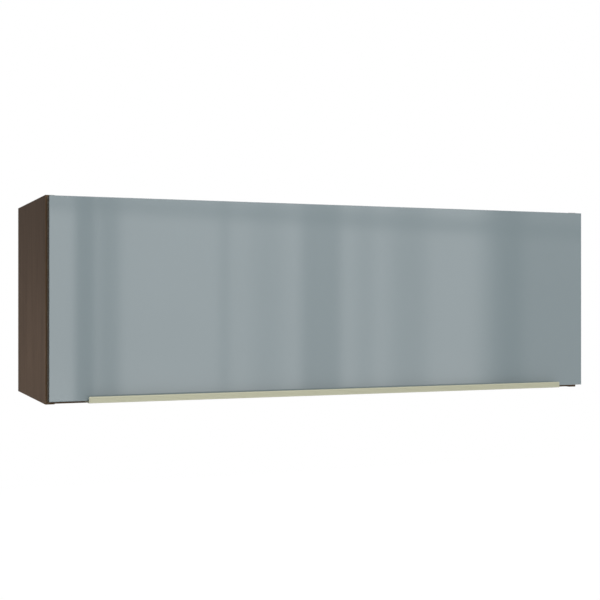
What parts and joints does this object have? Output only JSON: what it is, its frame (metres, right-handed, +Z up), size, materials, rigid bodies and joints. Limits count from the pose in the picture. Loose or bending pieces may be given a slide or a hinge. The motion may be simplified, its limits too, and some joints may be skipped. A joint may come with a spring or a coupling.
{
  "type": "lift up wall cabinet",
  "caption": "Wide low wall cabinet with a gloss lift-up flap, a grip profile along its foot, counterbalanced stays, linked hinges and concealed wall hooks.",
  "frame": {"origin": "middle of the width and of the depth, on the plane that the cabinet stands on", "axes": "+X to the right as seen from the front, +Y to the wall, +Z up; the flap faces -Y"},
  "size_m": [1.1, 0.359, 0.364],
  "materials": {
    "brown_board": "matt woodgrain melamine on particle board",
    "back_hardboard": "matt melamine on hardboard",
    "gloss_front": "blue-grey gloss lacquer on fibreboard",
    "anodised_grip": "satin anodised, warm champagne",
    "nickel_steel": "nickel plated",
    "zinc_steel": "zinc plated",
    "grey_plastic": "satin moulded",
    "white_plastic": "satin moulded",
    "clear_rubber": "soft translucent pad",
    "beech": "raw turned beech"
  },
  "bodies": {
    "carcass": {"left_side_board": "brown_board", "right_side_board": "brown_board", "top_board": "brown_board", "bottom_board": "brown_board", "back_board": "back_hardboard", "cam_top_left_front": "zinc_steel", "cam_top_left_rear": "zinc_steel", "cam_top_right_front": "zinc_steel", "cam_top_right_rear": "zinc_steel", "cam_bottom_left_front": "zinc_steel", "cam_bottom_left_rear": "zinc_steel", "cam_bottom_right_front": "zinc_steel", "cam_bottom_right_rear": "zinc_steel", "cam_bolt_top_left_front": "zinc_steel", "cam_bolt_top_left_rear": "zinc_steel", "cam_bolt_top_right_front": "zinc_steel", "cam_bolt_top_right_rear": "zinc_steel", "cam_bolt_bottom_left_front": "zinc_steel", "cam_bolt_bottom_left_rear": "zinc_steel", "cam_bolt_bottom_right_front": "zinc_steel", "cam_bolt_bottom_right_rear": "zinc_steel", "dowel_top_left": "beech", "dowel_top_right": "beech", "dowel_bottom_left": "beech", "dowel_bottom_right": "beech", "hanger_housing_left": "white_plastic", "hanger_housing_right": "white_plastic", "hanger_hook_left": "zinc_steel", "hanger_hook_right": "zinc_steel", "bumper_left": "clear_rubber", "bumper_right": "clear_rubber", "hinge_plate_left": "nickel_steel", "hinge_plate_middle": "nickel_steel", "hinge_plate_right": "nickel_steel", "hinge_arm_left": "nickel_steel", "hinge_arm_middle": "nickel_steel", "hinge_arm_right": "nickel_steel", "stay_plate_left": "zinc_steel", "stay_plate_right": "zinc_steel", "stay_case_left": "grey_plastic", "stay_case_right": "grey_plastic"},
    "outer_links": {"hinge_outer_link_left": "nickel_steel", "hinge_outer_link_middle": "nickel_steel", "hinge_outer_link_right": "nickel_steel"},
    "flap": {"flap_panel": "gloss_front", "grip_profile": "anodised_grip", "hinge_cup_left": "nickel_steel", "hinge_cup_middle": "nickel_steel", "hinge_cup_right": "nickel_steel", "stay_bracket_left": "nickel_steel", "stay_bracket_right": "nickel_steel"},
    "inner_links": {"hinge_inner_link_left": "nickel_steel", "hinge_inner_link_middle": "nickel_steel", "hinge_inner_link_right": "nickel_steel"},
    "stay_levers": {"stay_lever_left": "nickel_steel", "stay_lever_right": "nickel_steel"},
    "stay_links": {"stay_link_left": "nickel_steel", "stay_link_right": "nickel_steel"}
  },
  "joints": [
    {"name": "outer_link_turn", "type": "hinge", "parent": "carcass", "child": "outer_links", "pos_m": [0, -0.1427, 0.3285], "axis": [-1, 0, 0], "range_deg": [-31.5, 0]},
    {"name": "flap_lift", "type": "hinge", "parent": "outer_links", "child": "flap", "pos_m": [0, -0.145, 0.3497], "axis": [-1, 0, 0], "range_deg": [0, 116.45]},
    {"name": "inner_link_turn", "type": "hinge", "parent": "flap", "child": "inner_links", "pos_m": [0, -0.1496, 0.3536], "axis": [-1, 0, 0], "range_deg": [-95.3, 0]},
    {"name": "stay_lever_turn", "type": "hinge", "parent": "carcass", "child": "stay_levers", "pos_m": [0, -0.0781, 0.284], "axis": [-1, 0, 0], "range_deg": [0, 81.2]},
    {"name": "stay_link_turn", "type": "hinge", "parent": "stay_levers", "child": "stay_links", "pos_m": [0, -0.0653, 0.1844], "axis": [-1, 0, 0], "range_deg": [-88.2, 0]}
  ],
  "couplings": [
    {"joint": "outer_link_turn", "follows": "flap_lift", "ratio": -0.27007},
    {"joint": "inner_link_turn", "follows": "flap_lift", "ratio": -0.81752},
    {"joint": "stay_lever_turn", "follows": "flap_lift", "ratio": 0.69708},
    {"joint": "stay_link_turn", "follows": "flap_lift", "ratio": -0.75693}
  ]
}
